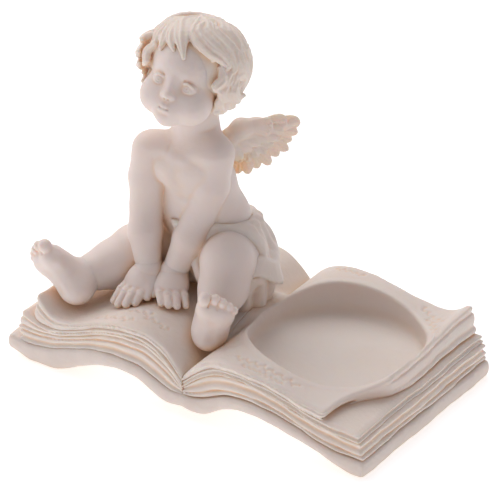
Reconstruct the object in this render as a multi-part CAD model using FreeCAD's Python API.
"""Seated cherub on an open book, a cast resin tealight holder.

Units are millimetres. The frame's origin is the centre of the footprint on the ground:
+X runs across the open book to the viewer's right, +Y runs along the spine to the back, +Z is up.
The book lies open with its spine along Y. The cherub sits on the left page and faces -Y.
The right page carries the round recess for a tealight.
Left and right in the figure's names are the cherub's own, so its left arm is the one nearer +X.
"""
import math
import os

import FreeCAD
import Part

from FreeCAD import Base

V = Base.Vector

# --- Driving dimensions of the book ---------------------------------------------------------
COVER_HALF_WIDTH = 51.0
BOOK_DEPTH = 55.4
FRONT_Y = -BOOK_DEPTH / 2
LEFT_LAND_X = 37.0           # each board rests on the ground from here outwards
RIGHT_LAND_X = 48.4
SPINE_HALF_WIDTH = 6.5
SPINE_UNDERSIDE_Z = 2.2
COVER_OVERHANG = 0.6         # how far the boards stand out past the pages, front and back

# Tealight recess in the right page
RECESS_X = 24.6
RECESS_Y = 1.0
RECESS_RADIUS = 21.0
RECESS_FLOOR_Z = 9.7

# Cross-sections at constant Y, as (distance from the spine, height)
LEFT_COVER_UNDERSIDE = [(SPINE_HALF_WIDTH, SPINE_UNDERSIDE_Z), (11.0, 4.6), (17.0, 6.2), (24.0, 5.2),
                        (31.0, 2.3), (LEFT_LAND_X, 0.0)]
RIGHT_COVER_UNDERSIDE = [(SPINE_HALF_WIDTH, SPINE_UNDERSIDE_Z), (11.0, 4.8), (17.0, 6.4), (24.0, 6.1),
                         (31.0, 4.4), (38.0, 2.8), (RIGHT_LAND_X, 0.0)]
COVER_TOP = [(0.0, 5.6), (5.0, 5.9), (10.0, 8.0), (15.0, 9.3), (19.0, 9.6), (25.0, 9.0), (33.0, 6.9),
             (41.0, 4.8), (50.2, 4.2)]
RIGHT_PAGE_TOP = [(0.0, 10.4), (3.2, 14.0), (6.8, 16.6), (11.0, 17.8), (16.0, 17.9), (24.6, 16.8),
                  (33.0, 14.9), (40.0, 14.2), (43.6, 14.8), (46.2, 16.2)]
LEFT_PAGE_TOP = [(0.0, 10.4), (3.6, 15.0), (8.8, 18.2), (14.2, 19.0), (19.6, 18.4), (25.0, 16.8),
                 (30.6, 14.8), (35.4, 14.1), (39.4, 15.6), (42.0, 19.0)]
RIGHT_MIDDLE_TOP = [(0.0, 9.0), (4.6, 13.0), (8.0, 15.0), (12.0, 15.8), (17.0, 15.9), (25.0, 14.8),
                    (33.0, 12.7), (40.5, 11.4), (45.0, 11.0), (48.6, 10.9)]
LEFT_MIDDLE_TOP = [(0.0, 9.0), (5.0, 13.8), (9.6, 16.4), (14.8, 17.0), (20.0, 16.4), (25.6, 14.7),
                   (31.6, 12.4), (37.4, 11.0), (42.4, 11.4), (46.2, 13.6)]
RIGHT_BLOCK_TOP = [(0.0, 7.4), (5.2, 11.6), (9.0, 13.6), (13.0, 14.4), (18.0, 14.4), (26.0, 13.0),
                   (34.0, 10.9), (41.0, 9.4), (46.0, 8.9), (49.8, 8.8)]
LEFT_BLOCK_TOP = [(0.0, 7.4), (5.6, 12.2), (10.4, 14.7), (15.6, 15.2), (21.0, 14.5), (27.0, 12.6),
                  (33.0, 10.5), (39.0, 9.1), (44.0, 8.9), (47.6, 9.3)]
LEFT_BACK_DROP = 2.4         # how much lower the left page's crest lies at the back
RIGHT_BACK_LIFT = 2.0        # how much higher the right page's outer edge curls at the back

# --- Driving dimensions of the figure --------------------------------------------------------
PELVIS = V(-14.0, 6.5, 26.4)
BELLY = V(-14.2, 4.6, 35.5)
CHEST = V(-15.2, 1.6, 46.5)
SHOULDER_LEVEL = V(-15.8, -0.6, 53.0)
NECK_BASE = V(-15.6, -0.8, 57.5)
NECK_TOP = V(-15.6, -0.6, 61.8)
NECK_RADIUS = 4.9
NECK_LENGTH = 8.0
HEAD = V(-15.8, -0.8, 73.8)
HEAD_TURN_DEG = 3.0          # turned a little towards +X from facing -Y
HEAD_TIP_UP_DEG = 15.0
HEAD_TILT_DEG = 8.0          # leaning towards the left shoulder
SHOULDER_TURN_DEG = 17.0     # the chest is turned towards +X

LEFT_SHOULDER = V(-8.2, 0.9, 54.0)
LEFT_ELBOW = V(-13.0, -2.2, 38.5)
LEFT_WRIST = V(-16.0, -7.4, 24.0)
RIGHT_SHOULDER = V(-24.6, -4.2, 52.0)
RIGHT_ELBOW = V(-25.0, -5.4, 38.0)
RIGHT_WRIST = V(-21.8, -9.6, 24.0)

LEFT_HIP = V(-8.0, 4.5, 26.2)
LEFT_KNEE = V(-2.6, -4.5, 29.4)
LEFT_ANKLE = V(-0.8, -13.2, 20.2)
RIGHT_HIP = V(-21.2, 5.0, 24.6)
RIGHT_KNEE = V(-29.8, -3.4, 23.4)
RIGHT_ANKLE = V(-36.2, -16.5, 20.6)

LEFT_HEEL = V(0.6, -17.6, 16.2)
LEFT_TOES = V(4.6, -19.2, 28.0)
RIGHT_HEEL = V(-35.6, -20.6, 18.6)
RIGHT_TOES = V(-42.6, -23.6, 30.4)

LEFT_WING_ROOT = V(-11.0, 9.0, 50.0)
LEFT_WING_TIP = V(-1.2, 22.5, 53.8)
RIGHT_WING_ROOT = V(-20.0, 8.0, 49.5)
RIGHT_WING_TIP = V(-30.0, 21.5, 53.3)
WING_THICKNESS = 1.8
# The wing's outline, as (share of the span, height above the root)
WING_LEADING_EDGE = [(-0.08, -1.0), (0.2, 6.0), (0.6, 4.6), (0.92, 5.8), (1.04, 3.4)]
WING_FEATHER_TIPS = [(0.96, 0.4), (0.82, -2.4), (0.62, -4.8), (0.38, -6.2), (0.12, -6.4), (-0.08, -5.4)]
WING_PEG_RADIUS = 1.4
WING_PEG_DEPTH = 3.4
WING_PEG_CLEARANCE = 0.05

# The hanging end of the cloth, as (x, y) outlines from the hem up to the hip
TAIL_HEM = [(-5.0, 12.0), (-4.0, 14.0), (0.5, 12.0), (1.6, 6.0), (0.4, 4.4), (-1.5, 8.5)]
TAIL_LIP = [(-6.0, 12.0), (-4.5, 14.5), (1.5, 11.5), (3.4, 8.0), (2.2, 5.0), (-0.5, 8.5)]
TAIL_TOP = [(-6.5, 9.0), (-5.5, 12.5), (0.0, 11.0), (2.6, 6.5), (1.4, 3.6), (-1.5, 7.0)]
TAIL_HEIGHTS = (10.0, 21.0, 30.0)

UP = V(0, 0, 1)


# --- Small tools --------------------------------------------------------------------------
def largest(shape):
    """The one piece that is kept, where a cut also leaves a sliver or two."""
    return max(shape.Solids, key=lambda solid: solid.Volume)


def export(name, shape):
    """Writes one node's solid and prints whether it is sound."""
    kept = largest(shape)
    print(f"{name:20s} of {len(shape.Solids)} valid {kept.isValid()} volume {kept.Volume:9.1f}")
    kept.exportStep(f"parts/{name}.step")


def spline(points):
    curve = Part.BSplineCurve()
    curve.interpolate(points)
    return curve.toShape()


def section_points(profile, side, y=FRONT_Y):
    """A profile's points at constant Y. side is 1 for the right page and -1 for the left."""
    return [V(side * x, y, z) for x, z in profile]


def back_profile(profile, drop, lift):
    """A page profile at the back: its crest lower by drop, its outer edge higher by lift."""
    inner = profile[0][0]
    outer = profile[-1][0]
    result = []
    for x, z in profile:
        share = (x - inner) / (outer - inner)
        result.append((x, z - drop * math.sin(math.pi * share) + lift * share ** 6))
    return result


def slab(lower, upper, lower_back, upper_back, side):
    """The solid between two profiles at the front and two at the back of the book."""
    wires = []
    for y, bottom, top in ((FRONT_Y, lower, upper), (-FRONT_Y, lower_back, upper_back)):
        low = section_points(bottom, side, y)
        high = section_points(top, side, y)
        edges = [spline(low), Part.makeLine(low[-1], high[-1]), spline(list(reversed(high))),
                 Part.makeLine(high[0], low[0])]
        wires.append(Part.Wire(edges))
    return Part.makeLoft(wires, True, True)


def ball(centre, radius):
    return Part.makeSphere(radius, centre)


def ellipsoid(centre, radii, turn=None):
    """An ellipsoid with its three radii along the axes of the rotation turn."""
    matrix = Base.Matrix()
    matrix.scale(radii[0], radii[1], radii[2])
    shape = Part.makeSphere(1.0).transformGeometry(matrix)
    shape.Placement = Base.Placement(centre, turn or Base.Rotation())
    return shape


def limb(stations):
    """A smooth limb through (centre, radius) stations, with a flat face at each end."""
    centres = [s[0] for s in stations]
    wires = []
    for i, (centre, radius) in enumerate(stations):
        before = centres[max(i - 1, 0)]
        after = centres[min(i + 1, len(centres) - 1)]
        direction = after.sub(before)
        wires.append(Part.Wire(Part.makeCircle(radius, centre, direction)))
    return Part.makeLoft(wires, True, False)


def rounded_limb(stations, start=True, end=True):
    """A limb closed by a ball at either end, a hair larger than the section there."""
    shape = limb(stations)
    for wanted, (centre, radius) in ((start, stations[0]), (end, stations[-1])):
        if wanted:
            shape = shape.fuse(ball(centre, radius * 1.01))
    return shape


def finger(base, tip, radius):
    """A short tapering digit with a round tip."""
    along = tip.sub(base)
    cone = Part.makeCone(radius, radius * 0.86, along.Length, base, along)
    return cone.fuse(ball(tip, radius * 0.88))


def between(a, b, share):
    return a.add(b.sub(a).multiply(share))


def minus(shape, *others):
    for other in others:
        shape = largest(shape.cut(other))
    return shape


# --- The book -----------------------------------------------------------------------------
def make_cover():
    """Two wavy boards and the flat spine between them, as one bent sheet."""
    y = FRONT_Y - COVER_OVERHANG
    edge_height = COVER_TOP[-1][1]
    edges = []
    for side, underside in ((-1, LEFT_COVER_UNDERSIDE), (1, RIGHT_COVER_UNDERSIDE)):
        under = section_points(underside, side, y)
        top = section_points(COVER_TOP, side, y)
        bottom_corner = V(side * COVER_HALF_WIDTH, y, 0)
        top_corner = V(side * COVER_HALF_WIDTH, y, edge_height)
        edges += [spline(under), Part.makeLine(under[-1], bottom_corner),
                  Part.makeLine(bottom_corner, top_corner), Part.makeLine(top_corner, top[-1]),
                  spline(list(reversed(top)))]
    edges.append(Part.makeLine(V(-SPINE_HALF_WIDTH, y, SPINE_UNDERSIDE_Z),
                               V(SPINE_HALF_WIDTH, y, SPINE_UNDERSIDE_Z)))
    face = Part.Face(Part.Wire(Part.__sortEdges__(edges)))
    return face.extrude(V(0, BOOK_DEPTH + 2 * COVER_OVERHANG, 0))


def make_book():
    """The cover, and three stacks of leaves on each side that lie on one another."""
    recess = Part.makeCylinder(RECESS_RADIUS, 20, V(RECESS_X, RECESS_Y, RECESS_FLOOR_Z), UP)
    parts = {"book_cover": make_cover()}
    stacks = (("left", -1, LEFT_BACK_DROP, 0.0, LEFT_BLOCK_TOP, LEFT_MIDDLE_TOP, LEFT_PAGE_TOP),
              ("right", 1, 0.0, RIGHT_BACK_LIFT, RIGHT_BLOCK_TOP, RIGHT_MIDDLE_TOP, RIGHT_PAGE_TOP))
    for side_name, side, drop, lift, block_top, middle_top, page_top in stacks:
        block_back = back_profile(block_top, drop / 3, 0)
        middle_back = back_profile(middle_top, drop * 2 / 3, 0)
        page_back = back_profile(page_top, drop, lift)
        layers = (("page_block", COVER_TOP, block_top, COVER_TOP, block_back),
                  ("middle_leaves", block_top, middle_top, block_back, middle_back),
                  ("top_leaves", middle_top, page_top, middle_back, page_back))
        for layer_name, lower, upper, lower_back, upper_back in layers:
            shape = slab(lower, upper, lower_back, upper_back, side)
            if side > 0:
                shape = shape.cut(recess)
            parts[f"{side_name}_{layer_name}"] = shape
    return parts


# --- The figure ---------------------------------------------------------------------------
def oval(centre, half_width, half_depth, turn_deg, tip_deg=0.0):
    """A horizontal oval section of the trunk, as a wire, wider across the shoulders."""
    turn = Base.Rotation(UP, turn_deg).multiply(Base.Rotation(V(1, 0, 0), tip_deg))
    ellipse = Part.Ellipse(V(0, 0, 0), half_width, half_depth)
    wire = Part.Wire(ellipse.toShape())
    wire.Placement = Base.Placement(centre, turn)
    return wire


def make_torso():
    """Pelvis, belly, chest and the lower half of the neck, as one loft."""
    lean = 12.0
    sections = [
        oval(PELVIS.add(V(0, 0.6, -9.6)), 10.2, 9.2, 5),
        oval(PELVIS.add(V(0, 0.2, -4.6)), 11.6, 10.4, 5),
        oval(PELVIS.add(V(0, 0, 1.6)), 11.2, 10.0, 7),
        oval(BELLY, 10.3, 9.3, 10, lean),
        oval(CHEST, 9.8, 8.2, SHOULDER_TURN_DEG, lean),
        oval(SHOULDER_LEVEL, 9.4, 6.6, SHOULDER_TURN_DEG, lean),
        oval(NECK_BASE, 6.0, 5.2, SHOULDER_TURN_DEG, lean / 2),
        oval(NECK_TOP, 4.8, 4.8, 0),
    ]
    return Part.makeLoft(sections, True, False)


def head_placement():
    """Carries the head's own axes (X to its left, -Y forward, Z up) to its pose."""
    turn = Base.Rotation(UP, HEAD_TURN_DEG)
    tip = Base.Rotation(V(1, 0, 0), -HEAD_TIP_UP_DEG)
    tilt = Base.Rotation(V(0, 1, 0), HEAD_TILT_DEG)
    return Base.Placement(HEAD, turn.multiply(tip).multiply(tilt))


def make_head():
    """Skull, round cheeks and jaw, small nose, and the upper half of the neck."""
    skull = ellipsoid(V(0, 1.2, 1.8), (10.2, 11.0, 10.4))
    jaw = ellipsoid(V(0, -3.6, -5.2), (8.8, 7.8, 7.4))
    nose = ball(V(0, -10.8, -3.6), 1.5)
    head = skull.fuse(jaw).fuse(nose)
    head.Placement = head_placement()
    neck = Part.makeCylinder(NECK_RADIUS, NECK_LENGTH, NECK_TOP, UP)
    return head.fuse(neck)


def make_hair(head):
    """A thick cap of curls over the skull, open at the face and the neck."""
    cap = ellipsoid(V(0, 1.4, 3.0), (13.0, 13.0, 11.6))
    face_window = Part.makeBox(17.0, 14.0, 17.6, V(-8.5, -18.0, -12.0))
    nape = Part.makeBox(40, 40, 12, V(-20, -20, -19.0))
    cap = minus(cap, face_window, nape)
    cap.Placement = head_placement()
    return cap.cut(head)


def make_arm(shoulder, elbow, wrist, outward):
    """Upper arm and forearm, ending in a flat face at the wrist."""
    return rounded_limb([
        (shoulder, 4.7),
        (between(shoulder, elbow, 0.5).add(outward), 4.5),
        (elbow.add(outward), 4.1),
        (between(elbow, wrist, 0.5), 4.2),
        (wrist, 3.2),
    ], end=False)


def make_hand(wrist, knuckles, side, spread):
    """A flat palm from the wrist to the knuckles, four fingers and a thumb."""
    forward = knuckles.sub(wrist)
    forward.z = 0
    forward.normalize()
    across = forward.cross(UP)
    palm = rounded_limb([(wrist, 3.1), (between(wrist, knuckles, 0.55), 3.5), (knuckles, 2.6)], start=False)
    hand = palm
    for i in range(4):
        offset = (i - 1.5) * 1.7
        base = knuckles.add(across * offset).add(V(0, 0, -0.4))
        fan = across * ((i - 1.5) * spread)
        tip = base.add(forward * 4.4).add(fan)
        tip.z = FINGER_TIP_Z[side]
        hand = hand.fuse(finger(base, tip, 1.15))
    thumb_root = between(wrist, knuckles, 0.5).add(across * (-side * 2.6))
    thumb_tip = thumb_root.add(forward * 3.6).add(across * (-side * 1.8))
    thumb_tip.z = FINGER_TIP_Z[side]
    return hand.fuse(finger(thumb_root, thumb_tip, 1.2))


FINGER_TIP_Z = {1: 19.5, -1: 18.9}
LEFT_KNUCKLES = V(-14.4, -11.0, 21.3)
RIGHT_KNUCKLES = V(-22.8, -13.6, 20.8)


def make_leg(hip, knee, ankle):
    """Thigh and shin, plump at the thigh and calf, ending in a flat face at the ankle."""
    return rounded_limb([
        (hip, 7.8),
        (between(hip, knee, 0.5), 7.6),
        (knee, 6.6),
        (between(knee, ankle, 0.45), 5.9),
        (ankle, 4.7),
    ], end=False)


def make_foot(ankle, heel, toes, side):
    """Heel, instep and ball of the foot, with five toes in a row."""
    along = toes.sub(heel)
    along.normalize()
    shin_side = ankle.sub(heel)
    across = along.cross(shin_side)
    across.normalize()
    ball_of_foot = toes.sub(along * 3.2)
    foot = rounded_limb([(heel, 4.1), (between(heel, ball_of_foot, 0.5), 3.9), (ball_of_foot, 3.7)])
    foot = foot.fuse(rounded_limb([(ankle, 4.9), (between(ankle, heel, 0.5), 4.2), (heel, 4.0)], start=False))
    for i in range(5):
        radius = 1.7 - 0.16 * i
        offset = (1.7 - i) * 1.8 * side
        root = ball_of_foot.add(across * offset)
        tip = root.add(along * (3.6 - 0.45 * i))
        foot = foot.fuse(finger(root, tip, radius))
    return foot


def make_drape():
    """A thick band of cloth round the hips and over the lap and left thigh."""
    band = ellipsoid(PELVIS.add(V(0.3, -0.6, 1.0)), (13.2, 11.8, 9.2), Base.Rotation(UP, 8))
    lap = rounded_limb([(LEFT_HIP.add(V(-1, 0, 0)), 9.0), (between(LEFT_HIP, LEFT_KNEE, 0.62), 8.2)])
    ceiling = Part.makeBox(60, 60, 30, V(-44, -30, 33.4))
    under = Part.makeBox(60, 60, 8.4, V(-44, -30, 12.0))
    return minus(band.fuse(lap), ceiling, under)


def flat_outline(points, z):
    """A closed straight-sided outline at height z."""
    corners = [V(x, y, z) for x, y in points]
    return Part.makePolygon(corners + corners[:1])


def make_drape_tail():
    """The cloth's free end, hanging from the left hip to the open page."""
    outlines = zip((TAIL_HEM, TAIL_LIP, TAIL_TOP), TAIL_HEIGHTS)
    return Part.makeLoft([flat_outline(points, z) for points, z in outlines], True, True)


def make_wing(root, tip):
    """A flat blade with a scalloped feather edge, standing on the line from root to tip."""
    span = tip.sub(root)
    outline = [V(u * span.Length, 0, w) for u, w in WING_LEADING_EDGE]
    edges = [spline(outline)]
    previous = outline[-1]
    for u, w in WING_FEATHER_TIPS:
        end = V(u * span.Length, 0, w)
        middle = between(previous, end, 0.5).add(V(0.7, 0, -1.0))
        edges.append(Part.Arc(previous, middle, end).toShape())
        previous = end
    edges.append(Part.makeLine(previous, outline[0]))
    blade = Part.Face(Part.Wire(edges)).extrude(V(0, WING_THICKNESS, 0))
    blade.translate(V(0, -WING_THICKNESS / 2, 0))
    heading = Base.Rotation(V(1, 0, 0), V(span.x, span.y, 0))
    blade.Placement = Base.Placement(root, heading).multiply(blade.Placement)
    return blade


def wing_peg(root, extra=0.0):
    """The round tenon between a wing's root and the back, along -Y into the chest."""
    start = root.add(V(0, 1.0, 1.0))
    return Part.makeCylinder(WING_PEG_RADIUS + extra, 1.0 + WING_PEG_DEPTH, start, V(0, -1, 0))


def make_figure(book):
    pages = [book["left_top_leaves"], book["right_top_leaves"], book["left_middle_leaves"],
             book["right_middle_leaves"], book["left_page_block"], book["right_page_block"], book["book_cover"]]
    pegs = [wing_peg(root, WING_PEG_CLEARANCE) for root in (LEFT_WING_ROOT, RIGHT_WING_ROOT)]
    parts = {}
    parts["torso"] = minus(make_torso(), *pages, *pegs)
    torso = parts["torso"]
    for side_name, hip, knee, ankle, heel, toes, side in (
            ("left", LEFT_HIP, LEFT_KNEE, LEFT_ANKLE, LEFT_HEEL, LEFT_TOES, 1),
            ("right", RIGHT_HIP, RIGHT_KNEE, RIGHT_ANKLE, RIGHT_HEEL, RIGHT_TOES, -1)):
        leg = minus(make_leg(hip, knee, ankle), torso, *pages)
        parts[f"{side_name}_leg"] = leg
        parts[f"{side_name}_foot"] = minus(make_foot(ankle, heel, toes, side), leg, *pages)
    limbs = [parts["left_leg"], parts["right_leg"]]
    parts["left_arm"] = minus(make_arm(LEFT_SHOULDER, LEFT_ELBOW, LEFT_WRIST, V(1.0, 0, 0)), torso, *limbs)
    parts["right_arm"] = minus(make_arm(RIGHT_SHOULDER, RIGHT_ELBOW, RIGHT_WRIST, V(-0.8, 0, 0)), torso, *limbs)
    parts["left_hand"] = minus(make_hand(LEFT_WRIST, LEFT_KNUCKLES, 1, 0.45), parts["left_arm"], *limbs, *pages)
    parts["right_hand"] = minus(make_hand(RIGHT_WRIST, RIGHT_KNUCKLES, -1, 0.75), parts["right_arm"],
                                parts["left_hand"], parts["left_arm"], *limbs, *pages)
    parts["head"] = minus(make_head(), torso)
    parts["hair"] = minus(make_hair(parts["head"]), torso, parts["left_arm"], parts["right_arm"])
    body = [torso, *limbs, parts["left_arm"], parts["right_arm"], parts["left_hand"], parts["right_hand"]]
    parts["drape_tail"] = minus(make_drape_tail(), *pages, *body)
    parts["drape"] = minus(make_drape(), *pages, parts["drape_tail"], *body)
    for side_name, root, tip in (("left", LEFT_WING_ROOT, LEFT_WING_TIP), ("right", RIGHT_WING_ROOT, RIGHT_WING_TIP)):
        wing = minus(make_wing(root, tip), torso)
        parts[f"{side_name}_wing"] = wing.fuse(wing_peg(root))
    return parts


def main():
    os.makedirs("parts", exist_ok=True)
    book = make_book()
    figure = make_figure(book)
    for name, shape in {**book, **figure}.items():
        export(name, shape)


main()
